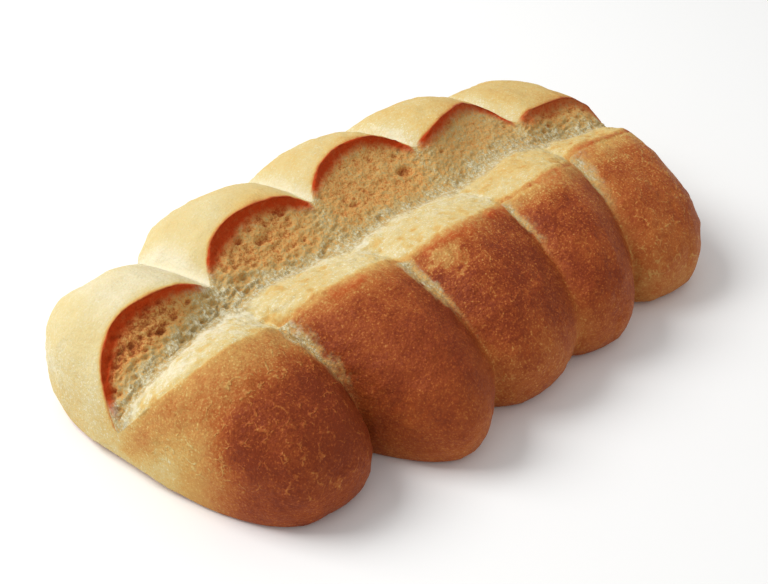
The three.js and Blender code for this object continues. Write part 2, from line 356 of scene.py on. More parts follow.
def loaf_grid(x):
    """The skin as a grid [row, step, xyz], with the name and place of each stretch of steps.

    A row runs round the loaf at one x: base, low side, browned crown up to the ridge, straight
    slope with a swell down to the crease, bowl-shaped crumb wall up to the lip that it undercuts a
    little, pale crown, low side.
    """
    s = section_sizes(x)
    browned, pale = s["browned"], s["pale"]
    (ridge_y, ridge_z), (crease_y, crease_z), (lip_y, lip_z) = s["ridge"], s["crease"], s["lip"]
    quarter = math.pi / 2
    tuck = BASE_TUCK * np.minimum(1, browned["width"] / NARROW_HALF_WIDTH)
    base_z = column(WIDEST_Z - s["base_drop"])
    t = {name: (np.arange(count) / count)[None] for name, count in STEPS.items()}

    def foot(crown):
        return np.maximum(0, crown["width"] - tuck)

    def low_side(crown, turn):
        y = mixed(column(foot(crown)), column(crown["width"]), np.sin(turn))
        return crown["side"] * y, WIDEST_Z - column(s["base_drop"]) * np.cos(turn)

    ridge_turn, lip_turn = column(cut_turn(browned, ridge_y)), column(cut_turn(pale, lip_y))
    stretches = {
        "base": (mixed(column(foot(pale)), -column(foot(browned)), t["base"]), base_z + 0 * t["base"]),
        "browned_low": low_side(browned, quarter * t["browned_low"]),
        "browned": crown_points(browned, mixed(quarter, ridge_turn, t["browned"])),
    }
    down = t["slope"]
    swell = (1 - down) * (1 + SLOPE_BULGE * down)
    stretches["slope"] = (
        mixed(column(ridge_y), column(crease_y), down),
        column(crease_z) + column(ridge_z - crease_z) * swell,
    )
    up = t["wall"]
    bowl = BOWL_SHARE * up**BOWL_POWER + (1 - BOWL_SHARE) * up**LIP_STEP_POWER
    rise = mixed(up, bowl, column(s["scallop"]))
    undercut = LIP_UNDERCUT * UNDERCUT_PEAK * up**UNDERCUT_POWER * (1 - up)
    lip_share = s["scallop"] * smooth(s["closing"], 0.8, 1.0)
    stretches["wall"] = (
        mixed(column(crease_y), column(lip_y), up) + column(lip_share) * undercut,
        mixed(column(crease_z), column(lip_z), rise),
    )
    stretches["pale"] = crown_points(pale, mixed(lip_turn, quarter, t["pale"] ** PALE_CROWDING))
    stretches["pale_low"] = low_side(pale, quarter * (1 - t["pale_low"]))

    places, first = {}, 0
    for name, (y, z) in stretches.items():
        places[name] = slice(first, first + y.shape[1])
        first += y.shape[1]
    y = np.concatenate([y for y, z in stretches.values()], axis=1)
    z = np.concatenate([z for y, z in stretches.values()], axis=1)
    return settled(column(x) + 0 * y, y, z), places, s


def settled(x, y, z):
    """Slants and curves the seams: x + slant * y/50 + curve * (y/50)^2, and y + the roll's shift."""
    across = y / SLANT_REACH
    slant = eased(x, SEAM_X, SEAM_SLANT) * across
    curve = eased(x, SEAM_X, SEAM_CURVE) * across**2
    return np.stack([x + slant + curve, y + eased(x, ROLL_MIDDLE_X, SIDE_SHIFT), z], axis=-1)


def outward(grid):
    """Unit normals of the closed grid, from the cross product of its two directions."""
    along = np.gradient(grid, axis=0)
    around = np.roll(grid, -1, axis=1) - np.roll(grid, 1, axis=1)
    normal = np.cross(along, around)
    length = np.linalg.norm(normal, axis=-1, keepdims=True)
    return normal / np.maximum(length, 1e-9)


def reach_from(grid, step):
    """Distance in millimetres round each row from the given step, along the skin."""
    pace = np.linalg.norm(np.diff(grid, axis=1), axis=-1)
    run = np.concatenate([np.zeros((len(grid), 1)), np.cumsum(pace, axis=1)], axis=1)
    return run - run[:, step : step + 1]


# ---- Zones of the skin ----

FAR_HALF_BLEND = (-9, 9)  # where the near half of a roll passes into its far half
DIMPLE_SIZE = 3.2
DIMPLE_SEED = 81


def zones(grid, places, s):
    """Where each point lies: distances along the skin from the ridge, crease, lip and nearest seam.

    Distances round the loaf grow from the browned side to the pale one, and those from a seam are
    negative before it and positive past it. `off_seam` is the same measured straight along X.
    """
    pace = np.linalg.norm(np.diff(grid, axis=0), axis=-1)
    run = np.concatenate([np.zeros((1, grid.shape[1])), np.cumsum(pace, axis=0)], axis=0)
    past_seams = np.array([run - run[row] for row in np.searchsorted(s["x"], SEAM_X)])
    seam = np.abs(past_seams).argmin(axis=0)
    part = np.empty(grid.shape[1], dtype="<U12")
    for name, place in places.items():
        part[place] = name
    far_half = smooth(s["x"] - ROLL_MIDDLE_X[s["roll"]], *FAR_HALF_BLEND)
    wide = np.zeros(grid.shape[:2])
    off_seams = s["x"] - np.array(SEAM_X)[:, None]
    off_seam = np.take_along_axis(off_seams, np.abs(off_seams).argmin(axis=0)[None], axis=0)[0]
    return {
        "ridge": reach_from(grid, places["slope"].start),
        "crease": reach_from(grid, places["wall"].start),
        "lip": reach_from(grid, places["pale"].start),
        "past_seam": np.take_along_axis(past_seams, seam[None], axis=0)[0],
        "seam": seam,
        "off_seam": column(off_seam) + wide,
        "dimples": dents(grid, DIMPLE_SIZE, DIMPLE_SEED),
        "part": np.broadcast_to(part[None], grid.shape[:2]),
        "scallop": column(s["scallop"]) + wide,
        "closing": column(s["closing"]) + wide,
        "far_half": column(far_half) + wide,
        "roll": column(s["roll"]) + wide.astype(int),
    }


def within(zone, *names):
    """1 where a point belongs to one of the named stretches, and 0 elsewhere."""
    return np.isin(zone["part"], names) * 1.0


def of_roll(zone, values):
    """For each point, the value of its own roll."""
    return np.array(values)[zone["roll"]]


def of_seam(zone, values):
    """For each point, the value of its nearest seam."""
    return np.array(values)[zone["seam"]]


def drawn(grid, along, across):
    """The places pressed together, so that noise read from them is drawn out along X and across."""
    return grid / np.array([along, across, across])


def weighted(kind, place, layer):
    """Noise of one kind, for a layer given as its strength, size in millimetres and seed."""
    strength, size, seed = layer
    return strength * kind(place, size, seed)


def fade(value, amount, low, high):
    """Nothing up to `low`, then smoothly more, and the whole amount from `high` on."""
    return amount * smooth(value, low, high)


def glow(distance, amount, width):
    """The whole amount on a line, dying out to both of its sides like a bell."""
    return amount * bump(distance, width)


# ---- Relief of crust and crumb ----

# The larger pores of the crumb wall: x, share of the way from crease to lip, radius.
LARGE_PORES = [
    (19.4, 0.52, 2.3),
    (-43.9, 0.62, 1.9),
    (-32.5, 0.84, 1.7),
    (-38.9, 0.76, 1.2),
    (-59.2, 0.28, 1.8),
    (-50.6, 0.74, 1.5),
    (-52.3, 0.36, 1.1),
    (-7.5, 0.40, 1.4),
    (-5.2, 0.20, 1.0),
    (21.3, 0.76, 1.3),
    (7.1, 0.48, 0.9),
    (44.8, 0.86, 1.6),
    (82.8, 0.54, 1.5),
    (82.8, 0.82, 1.2),
    (-96.2, 0.50, 1.2),
    (-111.2, 0.40, 1.1),
]

# The smaller pores are drawn at random within these bounds.
SMALL_PORES = 170
SMALL_PORE_RADIUS = (0.4, 1.0)
SMALL_PORE_X = (END_X[0] + 3, END_X[1] - 8)
SMALL_PORE_SHARE = (0.08, 0.90)
SMALL_PORE_SKEW = 2.2  # above 1, small radii come up more often than large ones
PORE_SEED = 7

# The form of a pore, in radii: its depth, its rim's height, place and width, its stretch along X
# and across, and its raggedness.
PORE_DEPTH = 0.6
PORE_RIM = 0.12
PORE_RIM_PLACE = 1.3
PORE_RIM_WIDTH = 0.3
PORE_STRETCH = np.array([0.7, 1.15, 1.15])
PORE_REACH = 2
PORE_RAGS = (0.25, 0.9, 151)
PORE_ROWS = 14
PORE_STEPS = 12

# How strongly and how widely the edges are softened.
RIDGE_SOFTENING = (0.55, 2.0)
SEAM_SOFTENING = 0.9
SEAM_SOFTNESS = [4.5, 3.5, 1.6, 1.8]
LIP_SOFTNESS = 5.0
SOFTENING = (0.5, 0.5, 3.0)
SOFTENING_PASSES = 36

# The torn band of the browned crust at each seam: its reach along X before and past the seam at
# the ridge, how far down it fades out, and how far it fills the seam.
TEAR_BEFORE = [7.5, 6.5, 2.0, 2.0]
TEAR_PAST = [4.5, 3.0, 4.0, 8.0]
TEAR_LENGTH = [48.0, 50.0, 40.0, 50.0]
TEAR_FILL = [0.8, 0.6, 0.3, 0.5]
TEAR_FILL_WIDTH = 3.2
TEAR_NARROWING = (0.35, 1.0)
TEAR_LEAST = 0.5
TEAR_SHARE = 0.85
TEAR_STRAND_HEIGHT = 0.45

# The crumb fibres that stand up along the crease.
SHAG_HEIGHT = 4.5
SHAG_WIDTH = 5.0
SHAG_PLACE = 1.5
WALL_SHAG = 0.36
SLOPE_SHAG = 0.32

# A rough scab on the browned crust of the middle roll: x, distance below the ridge, radius.
SCAB = (-11.0, 8.5, 7.0)
SCAB_HEIGHT = 2.6

# How much of its relief the wall keeps under the lip.
UNDER_LIP_SHARE = 0.15

# Depth of each roll's wall dents, and of the slope's dimples.
WALL_DENTS = [1.5, 1.2, 0.8, 0.75, 0.9]
SLOPE_DIMPLES = 0.38
BLISTER_LEVEL = 0.25

# Layers of relief: strength, size and seed.
CRUST_SWELLS = (0.55, 26, 11)
CRUST_BULGES = (0.28, 7, 21)
CRUST_BLISTERS = (0.55, 3.4, 31)
CRUST_HOLLOWS = (0.35, 2.2, 35)
LARGE_DENTS = (0.75, 2.6, 45)
SMALL_DENTS = (0.35, 1.5, 47)
WALL_SWELLS = (0.30, 8, 51)
WALL_LUMPS = (0.25, 3.4, 61)
WALL_GRAIN = (0.14, 1.3, 65)
SLOPE_SWELLS = (0.50, 9, 75)
SLOPE_WRINKLES = (0.26, 1.0, 71)
SLOPE_HOLLOWS = (0.5, 1.9, 85)
FIBRE_BEND = (1.2, 5.0, 93)
FIBRE_SEED = 91
FIBRE_KNOTS = (0.6, 2.4, 95)
STRAND_SEED = 97
STRAND_KNOTS = (0.6, 1.5, 99)
TEAR_RAGS = (0.22, 4.0, 123)
TEAR_FRINGE = (0.22, 1.2, 121)
SCAB_RAGS = (0.5, 3.2, 131)
SCAB_FRINGE = (0.3, 1.4, 133)
SCAB_LUMPS = (0.55, 2.6, 135)
SCAB_GRAIN = (0.22, 1.3, 137)


def softened(grid, weight):
    """Draws each point towards the mean of its four neighbours, by its weight, pass after pass."""
    for _ in range(SOFTENING_PASSES):
        around = (np.roll(grid, 1, axis=1) + np.roll(grid, -1, axis=1)) / 2
        along = grid.copy()
        along[1:-1] = (grid[:-2] + grid[2:]) / 2
        grid = mixed(grid, (around + along) / 2, weight[..., None])
    return grid


def softness(grid, zone):
    """How much each point is softened: the ridge, the seams, and the lip where it dies out."""
    ridge = glow(zone["ridge"], *RIDGE_SOFTENING)
    seam = glow(zone["past_seam"], SEAM_SOFTENING, of_seam(zone, SEAM_SOFTNESS))
    lip = bump(zone["lip"], LIP_SOFTNESS) * smooth(zone["scallop"], 0.75, 0.25)
    return np.maximum(np.maximum(ridge, seam), lip) * fade(grid[..., 2], *SOFTENING)


def torn(grid, zone):
    """1 in the torn bands beside the seams: wide and ragged at the ridge, gone lower down."""
    left = np.clip(1 + zone["ridge"] / of_seam(zone, TEAR_LENGTH), 0, 1)
    reach = np.where(zone["off_seam"] > 0, of_seam(zone, TEAR_PAST), of_seam(zone, TEAR_BEFORE))
    reach = reach * mixed(*TEAR_NARROWING, left) + TEAR_LEAST
    ragged = weighted(noise, drawn(grid, 1.0, 2.6), TEAR_FRINGE) + weighted(noise, grid, TEAR_RAGS)
    share = np.abs(zone["off_seam"]) / reach + ragged
    return fade(share, TEAR_SHARE, 1.1, 0.1) * within(zone, "browned") * smooth(left, 0.0, 0.9)


def scabbed(grid, zone, x):
    """1 in the scab on the middle roll, fading raggedly at its edge."""
    place, below, radius = SCAB
    away = np.hypot(column(x) - place, zone["ridge"] + below) / radius
    away = away + weighted(noise, grid, SCAB_RAGS) + weighted(noise, grid, SCAB_FRINGE)
    return within(zone, "browned") * smooth(away, 1.0, 0.6)


def pores():
    """x, share of the way up the wall, and radius of all pores: the larger ones, then random ones."""
    draw = np.random.default_rng(PORE_SEED)
    x = draw.uniform(*SMALL_PORE_X, SMALL_PORES)
    share = draw.uniform(*SMALL_PORE_SHARE, SMALL_PORES)
    small, large = SMALL_PORE_RADIUS
    radius = small + (large - small) * draw.uniform(0, 1, SMALL_PORES) ** SMALL_PORE_SKEW
    return np.concatenate([np.array(LARGE_PORES), np.stack([x, share, radius], axis=1)])


def pitted(grid, places, s):
    """Height of the pores over the wall: -depth r exp(-(d/r)^4), with a low rim round each."""
    height = np.zeros(grid.shape[:2])
    first, count = places["wall"].start, STEPS["wall"]
    strength, size, seed = PORE_RAGS
    for x, share, radius in pores():
        row, step = np.searchsorted(s["x"], x), first + int(share * count)
        rows = slice(max(row - PORE_ROWS, 0), row + PORE_ROWS + 1)
        steps = slice(max(step - PORE_STEPS, first), min(step + PORE_STEPS + 1, first + count + 2))
        away = (grid[rows, steps] - grid[row, step]) / radius
        d = np.linalg.norm(away * PORE_STRETCH, axis=-1)
        d = d * (1 + strength * noise(away, size, seed + row))
        rim = glow(d - PORE_RIM_PLACE, PORE_RIM * radius, PORE_RIM_WIDTH)
        pit = -PORE_DEPTH * radius * np.exp(-(d**4)) + rim
        deeper = np.where(pit < 0, np.minimum(height[rows, steps], pit), pit)
        height[rows, steps] = np.where(d < PORE_REACH, deeper, height[rows, steps])
    return height


def blisters(grid, size, seed):
    """Small round swellings: what noise has above its blister level."""
    return np.maximum(noise(grid, size, seed) - BLISTER_LEVEL, 0)


def crust_relief(grid):
    """Slow swells, hollows and small blisters of the baked crust."""
    swells = weighted(layers, grid, CRUST_SWELLS) + weighted(layers, grid, CRUST_BULGES)
    return swells + weighted(blisters, grid, CRUST_BLISTERS) - weighted(blisters, grid, CRUST_HOLLOWS)


def wall_relief(grid, zone):
    """Soft dents of the torn crumb, drawn out along the slash, deepest in the first two rolls."""
    long = drawn(grid, 1.5, 1.0)
    pressed = weighted(dents, long, LARGE_DENTS) + weighted(dents, long, SMALL_DENTS)
    rough = weighted(layers, grid, WALL_LUMPS) + weighted(noise, grid, WALL_GRAIN)
    return weighted(layers, grid, WALL_SWELLS) + of_roll(zone, WALL_DENTS) * (rough - pressed)


def slope_relief(grid, zone):
    """A smooth tear: low swells, short wrinkles along the slash and shallow dimples."""
    wrinkles = weighted(noise, drawn(grid, 4.5, 1.6), SLOPE_WRINKLES)
    dimples = SLOPE_DIMPLES * zone["dimples"] + weighted(blisters, grid, SLOPE_HOLLOWS)
    return weighted(layers, grid, SLOPE_SWELLS) + wrinkles - dimples


def tear_relief(grid, zone):
    """The torn bands: the seam filled a little, with strands that run down it."""
    strands = noise(drawn(grid, 1.4, 3.6), 1.0, STRAND_SEED) + weighted(noise, grid, STRAND_KNOTS)
    fill = glow(zone["past_seam"], of_seam(zone, TEAR_FILL), TEAR_FILL_WIDTH) * within(zone, "browned")
    return fill * smooth(zone["ridge"], -44, -8) + TEAR_STRAND_HEIGHT * torn(grid, zone) * strands


def shag_relief(grid, zone):
    """Bent fibres that stand across the crease."""
    bent = grid + weighted(noise, grid, FIBRE_BEND)[..., None]
    fibres = noise(drawn(bent, 1.7, 4.5), 1.0, FIBRE_SEED) + weighted(noise, grid, FIBRE_KNOTS)
    share = WALL_SHAG * within(zone, "wall") + SLOPE_SHAG * within(zone, "slope")
    return fibres * bump(zone["crease"] - SHAG_PLACE, SHAG_WIDTH) * share


def relief(grid, places, s, zone):
    """How far the skin stands out of its plain form, in millimetres."""
    in_wall, in_slope = within(zone, "wall"), within(zone, "slope")
    in_crust = 1 - in_wall - in_slope - within(zone, "base")
    under_lip = mixed(UNDER_LIP_SHARE, 1.0, smooth(zone["lip"], -0.8, -4.5))
    lumps = weighted(blisters, grid, SCAB_LUMPS) + weighted(noise, grid, SCAB_GRAIN)

    height = in_crust * crust_relief(grid) + in_slope * slope_relief(grid, zone)
    height = height + under_lip * (in_wall * wall_relief(grid, zone) + pitted(grid, places, s))
    height = height + shag_relief(grid, zone) + tear_relief(grid, zone)
    height = height + SCAB_HEIGHT * scabbed(grid, zone, s["x"]) * lumps

    # The relief dies out where the loaf rests and at the two poles.
    row = np.arange(len(grid))
    near_pole = smooth(np.minimum(row, len(grid) - 1 - row), 0, 10)
    return height * smooth(grid[..., 2], 0.0, 3.0) * column(near_pole)


# ---- Bake and crumb tones ----

# Bake runs from 0, nearly white, to 1, deep brown. A fade is its amount and the two places or
# distances between which it comes in, and a glow is its amount and its width.

# One value for each roll.
BROWNED_BAKE = [1.00, 0.95, 0.92, 0.89, 0.74]
RIDGE_FADE = [0.19, 0.28, 0.17, 0.32, 0.26]
FOOT_BAKE = [0.0, 0.0, 0.0, 0.04, 0.10]
SLOPE_BAKE = [0.07, 0.18, 0.15, 0.23, 0.24]
RIDGE_EDGE_BAKE = [0.12, 0.34, 0.34, 0.34, 0.34]
LIP_GOLD = [0.0, 0.06, 0.06, 0.06, 0.06]

# The browned side.
# A pale line on the ridge's edge: partly lighter bake, partly painted highlight.
RIDGE_GLOW = (0.16, 1.6)
SEAM_GLOW = (0.09, 4.0)
LOW_FADE = (0.12, -40, -70)
FAR_END_FADE = (0.04, 88, 112)

# The first roll's golden end face and ridge.
GOLDEN_BAKE = 0.58
GOLDEN_SLANT = 0.25
END_FACE_FADE = (0.34, -106, -118)
GOLDEN_RIDGE_GLOW = (0.16, 3.0)

# The pale side.
PALE_BAKE = 0.16
PALE_ROW_FADES = [(0.15, -90, 90), (-0.10, -65, -85), (0.07, -102, -116)]
PALE_LOW_FADES = [(0.10, 22, 6), (0.25, 4, 0)]
PALE_SEAM_GLOW = (0.20, 6.0)
LIP_GOLD_FAR = 0.16
LIP_GOLD_WIDTH = 5
RIM_GLOW = (0.46, 1.2)

# The slope and the base.
BASE_BAKE = 0.78
SLOPE_SEAM_GLOW = (0.06, 6)
SLOPE_FOOT_GLOW = (0.10, 7.0)
SLOPE_ROW_FADE = (0.05, -30, 90)
# Darkening in the slope's dimples, painted shade.
DIMPLE_SHADE = 0.08
SPOT_FADE = (0.16, 0.2, 0.9)
SPOTS = (1.0, 3.6, 83)
SPOT_RAGS = (0.6, 1.6, 84)
DRIFT = (0.05, 18, 111)

# Mottling and crackle lines.
PALE_MOTTLE = 0.35
PALE_LOW_MOTTLE = (0.8, 38, 16)
PALE_ROW_MOTTLE = (0.6, -60, 40)
BROWNED_MOTTLE = (0.90, 1.35)
ROLL_MOTTLE = [0.90, 0.85, 1.10, 1.10, 1.00]
ROLL_CRACKLE = [1.0, 0.15, 0.5, 0.1, 0.9]

# The crumb's tone runs from 0, pale fibres, to 1, the shaded insides of pores. It follows the relief as
# painted shade: darker in pits and hollows, paler on lumps.
WALL_TONE = [0.78, 0.58, 0.58, 0.46, 0.58]
WALL_RELIEF_SHADE = [0.24, 0.17, 0.17, 0.17, 0.17]
# At the first seam the pale crumb is partly painted light, lifting the shade that falls in its saddle.
SEAM_CRUMB_TONE = [0.10, 0.27, 0.27, 0.27]
CREASE_TONE = 0.16
FOOT_TONE = 0.14
TEAR_TONE = (0.23, 0.57)
TEAR_RELIEF_SHADE = 0.05
TEAR_STREAKS = (0.16, 1.0, 147)
TEAR_SPOTS = (0.10, 2.2, 149)
SHAG_FRINGE = (2.4, 1.0, 141)
SHAG_DRIFT = (1.8, 9, 143)
SLOPE_CRUMB_RAGS = (1.5, 4.0, 145)

# The band under each roll's lip, and what is left of it in the far half of a roll: scorched crumb,
# darkened and reddened further as painted shade under the overhanging lip.
LIP_BAND = [4.4, 6.0, 4.0, 3.4, 4.4]
LIP_SCORCH_AND_SHADE = [1.0, 1.0, 0.95, 0.8, 0.6]
FAR_BAND = 0.65
FAR_SCORCH_AND_SHADE = 0.85
BAND_SCORCH_AND_SHADE = 1.3
BAND_TOP = (0.9, -0.1)
BAND_SOLID = 0.35
BAND_FADE = 4.0
BAND_RAGS = (0.25, 1.0, 151)

# The scorched patches on the ridges.
PATCH_SCORCH = [0.0, 0.4, 0.4, 0.4, 0.4]
PATCH_PLACE = 2.0
PATCH_WIDTH = 3.6
PATCHES = (1.0, 11, 155)


def browned_tone(grid, zone):
    """Bake of the browned side: lighter near the ridge, with a narrow painted highlight on the ridge's
    edge, at the loaf's ends and beside the seams.
    """
    x, y = grid[..., 0], grid[..., 1]
    ridge = zone["ridge"]
    tone = of_roll(zone, BROWNED_BAKE) - of_roll(zone, RIDGE_FADE) * smooth(ridge, -14, -1)
    tone = tone - glow(ridge, *RIDGE_GLOW) - glow(zone["past_seam"], *SEAM_GLOW)
    tone = tone - fade(ridge, *LOW_FADE) - fade(x, *FAR_END_FADE)
    tone = tone + of_roll(zone, FOOT_BAKE) * smooth(ridge, -10, -50)

    # The first roll stays golden at its end face and along its ridge.
    inward = smooth(x - GOLDEN_SLANT * y, -116, -90) * smooth(-ridge, 5, 27)
    first = mixed(GOLDEN_BAKE, tone, inward) - glow(ridge, *GOLDEN_RIDGE_GLOW)
    first = first - fade(x, *END_FACE_FADE) * smooth(-ridge, 4, 20)
    return np.where(zone["roll"] == 0, first, tone)


def pale_tone(grid, zone):
    """Bake of the pale side: golden near the lip, nearly white in the seams, deeper low down."""
    x, z = grid[..., 0], grid[..., 2]
    tone = PALE_BAKE + sum(fade(x, *each) for each in PALE_ROW_FADES)
    tone = tone + sum(fade(z, *each) for each in PALE_LOW_FADES)
    golden = of_roll(zone, LIP_GOLD) + LIP_GOLD_FAR * zone["far_half"]
    tone = tone + glow(zone["lip"], golden, LIP_GOLD_WIDTH) * zone["scallop"]
    tone = tone + glow(zone["lip"], *RIM_GLOW) * smooth(zone["scallop"], 0.2, 0.7)
    return tone - glow(zone["past_seam"], *PALE_SEAM_GLOW)


def slope_tone(grid, zone):
    """Bake of the slope: browned along the ridge, palest at its foot, with golden spots and painted
    shade in its dimples.
    """
    slope = of_roll(zone, SLOPE_BAKE)
    slope = slope + of_roll(zone, RIDGE_EDGE_BAKE) * smooth(zone["ridge"], 4.0, 0.0)
    slope = slope - glow(zone["off_seam"], *SLOPE_SEAM_GLOW) - glow(zone["crease"], *SLOPE_FOOT_GLOW)
    slope = slope + fade(grid[..., 0], *SLOPE_ROW_FADE) + DIMPLE_SHADE * zone["dimples"]
    spots = weighted(noise, grid, SPOTS) + weighted(noise, grid, SPOT_RAGS)
    return slope + fade(spots, *SPOT_FADE)


def bake_tone(grid, zone):
    """How far the crust is baked, from 0, nearly white, to 1, deep brown."""
    # Round the loaf's ends the two sides fade into each other.
    on_browned = within(zone, "browned", "browned_low", "base")
    turn = smooth(grid[..., 1], 8, -14)
    on_browned = mixed(turn, on_browned, smooth(zone["closing"], 0.35, 0.75))
    tone = mixed(pale_tone(grid, zone), browned_tone(grid, zone), on_browned)
    in_base = within(zone, "base") * smooth(grid[..., 2], 2.5, 0.5)
    tone = mixed(tone, slope_tone(grid, zone), within(zone, "slope"))
    tone = mixed(tone, BASE_BAKE, in_base)
    tone = mixed(tone, of_roll(zone, SLOPE_BAKE), within(zone, "wall"))
    drift = weighted(layers, grid, DRIFT) * (1 - in_base)
    return np.clip(tone + drift, 0, 1)


def mottle_share(grid, zone):
    """How strongly the crust is mottled: faintly on the pale tops, most along the ridges."""
    pale = PALE_MOTTLE + fade(grid[..., 2], *PALE_LOW_MOTTLE) + fade(grid[..., 0], *PALE_ROW_MOTTLE)
    browned = mixed(*BROWNED_MOTTLE, smooth(zone["ridge"], -42, -6))
    browned = browned * of_roll(zone, ROLL_MOTTLE)
    share = mixed(pale, browned, within(zone, "browned", "browned_low"))
    return mixed(share, 1.0, within(zone, "slope"))


def crackle_share(zone):
    """How much each part of the browned crust shows crackle lines: the first roll most."""
    below = smooth(zone["ridge"], -5, -12)
    return of_roll(zone, ROLL_CRACKLE) * within(zone, "browned") * below


def crumb_share(grid, zone):
    """1 where torn crumb shows: the wall, the foot of the slope and the tears in the seams."""
    ragged = zone["crease"] + weighted(noise, grid, SLOPE_CRUMB_RAGS)
    foot = within(zone, "slope") * smooth(ragged, -7.5, -1.5)
    return np.clip(within(zone, "wall") + foot + torn(grid, zone), 0, 1)


def crumb_tone(grid, zone, height):
    """Colour of the crumb, from 0, pale fibres, through tan, to 1, the shaded insides of pores, with
    painted shade in the hollows of the relief.
    """
    fringe = weighted(noise, drawn(grid, 1.3, 6.0), SHAG_FRINGE) + weighted(noise, grid, SHAG_DRIFT)
    edge = SHAG_HEIGHT + fringe
    above = smooth(zone["crease"], edge - 3.0, edge + 6.0)
    wall = mixed(CREASE_TONE, of_roll(zone, WALL_TONE), above)
    near, far = smooth(zone["scallop"], 0.0, 0.6), smooth(zone["scallop"], 0.2, 0.95)
    wall = mixed(of_seam(zone, SEAM_CRUMB_TONE), wall, mixed(near, far, zone["far_half"]))
    # Painted shade: the wall darkens where its relief sinks and pales where it rises.
    wall = wall - of_roll(zone, WALL_RELIEF_SHADE) * height

    streaks = weighted(noise, drawn(grid, 1.2, 3.0), TEAR_STREAKS) + weighted(noise, grid, TEAR_SPOTS)
    # Painted shade in the torn bands' hollows, as on the wall.
    tear = mixed(*TEAR_TONE, smooth(zone["ridge"], -4, -36)) - TEAR_RELIEF_SHADE * height
    tone = np.where(within(zone, "browned") > 0, tear + streaks, FOOT_TONE)
    return np.clip(mixed(tone, wall, within(zone, "wall")), 0, 1)


def lip_scorch_and_shade(grid, zone):
    """1 in the band under the lip, scorched crumb with painted shade from the overhang: sharp along the
    lip, fading raggedly into the wall below it.
    """
    reach = of_roll(zone, LIP_BAND) * mixed(1.0, FAR_BAND, zone["far_half"])
    reach = reach * smooth(zone["scallop"], 0.15, 0.85)
    reach = reach * (1 + weighted(noise, drawn(grid, 2.5, 5.0), BAND_RAGS))
    band = smooth(zone["lip"], -reach - BAND_FADE, -BAND_SOLID * reach) * smooth(zone["lip"], *BAND_TOP)
    band = band * smooth(zone["scallop"], 0.15, 0.5) * smooth(zone["closing"], 0.2, 0.5)
    band = band * mixed(1.0, FAR_SCORCH_AND_SHADE, zone["far_half"]) * of_roll(zone, LIP_SCORCH_AND_SHADE)
    return band * within(zone, "wall", "pale")


def scorch_and_shade_tone(grid, zone):
    """1 where the skin is painted red: scorched crumb with painted shade under the lips, and scorched
    patches on the ridges.
    """
    patch = glow(zone["ridge"] + PATCH_PLACE, of_roll(zone, PATCH_SCORCH), PATCH_WIDTH)
    patch = patch * smooth(weighted(layers, grid, PATCHES), -0.2, 0.5)
    patch = patch * within(zone, "browned", "slope") * smooth(zone["scallop"], 0.1, 0.6)
    return np.clip(BAND_SCORCH_AND_SHADE * lip_scorch_and_shade(grid, zone) + patch, 0, 1)


# ---- The piece ----


def closed_mesh(name, grid, poles, tones):
    """A mesh from the grid, joined round each row, with a fan to a pole at each end, in metres."""
    rows, steps = grid.shape[:2]
    index = np.arange(rows * steps).reshape(rows, steps)
    right = np.roll(index, -1, axis=1)
    quads = np.stack([index[:-1], index[1:], right[1:], right[:-1]], axis=-1).reshape(-1, 4)
    first, last = rows * steps, rows * steps + 1
    near = np.stack([np.full(steps, first), index[0], right[0]], axis=-1)
    far = np.stack([np.full(steps, last), right[-1], index[-1]], axis=-1)
    corners = np.concatenate([quads.ravel(), near.ravel(), far.ravel()])
    starts = np.concatenate([
        np.arange(len(quads)) * 4,
        len(quads) * 4 + np.arange(2 * steps) * 3,
    ])
    places = np.concatenate([grid.reshape(-1, 3), np.array(poles)]) * MM
    mesh = bpy.data.meshes.new(name)
    mesh.vertices.add(len(places))
    mesh.vertices.foreach_set("co", places.astype(np.float32).ravel())
    mesh.loops.add(len(corners))
    mesh.loops.foreach_set("vertex_index", corners.astype(np.int32))
    mesh.polygons.add(len(starts))
    mesh.polygons.foreach_set("loop_start", starts.astype(np.int32))
    mesh.update(calc_edges=True)
    mesh.validate()
    mesh.polygons.foreach_set("use_smooth", np.ones(len(mesh.polygons), bool))
    for tone, values in tones.items():
        layer = mesh.attributes.new(tone, "FLOAT", "POINT")
        ends = [values[0].mean(), values[-1].mean()]
        layer.data.foreach_set("value", np.concatenate([values.ravel(), ends]).astype(np.float32))
    piece = bpy.data.objects.new(name, mesh)
    bpy.context.scene.collection.objects.link(piece)
    return piece


def make_loaf():
    """The whole loaf: plain form, softened edges, relief, and the tones that its finish reads."""
    x = row_places()
    grid, places, s = loaf_grid(x)
    poles = settled(np.array(END_X), np.zeros(2), np.full(2, WIDEST_Z))
    middle = (grid.min(axis=(0, 1)) + grid.max(axis=(0, 1))) / 2
    cad_middle = (np.array(cad_box[0]) + np.array(cad_box[1])) / 2 / MM
    move = cad_middle - middle
    move[2] = 0
    zone = zones(grid, places, s)
    grid = softened(grid, softness(grid, zone))
    height = relief(grid, places, s, zone)
    tones = {
        "bake": bake_tone(grid, zone),
        "crumb": crumb_share(grid, zone),
        "tone": crumb_tone(grid, zone, height),
        "scorch_and_shade": scorch_and_shade_tone(grid, zone),
        "scab": scabbed(grid, zone, x),
        "crackled": crackle_share(zone),
        "mottling": mottle_share(grid, zone),
    }
    grid = grid + outward(grid) * height[..., None]
    grid[..., 2] = np.maximum(grid[..., 2], 0)
    return closed_mesh("crusty_loaf", grid + move, poles + move, tones)


# ---- Finish ----

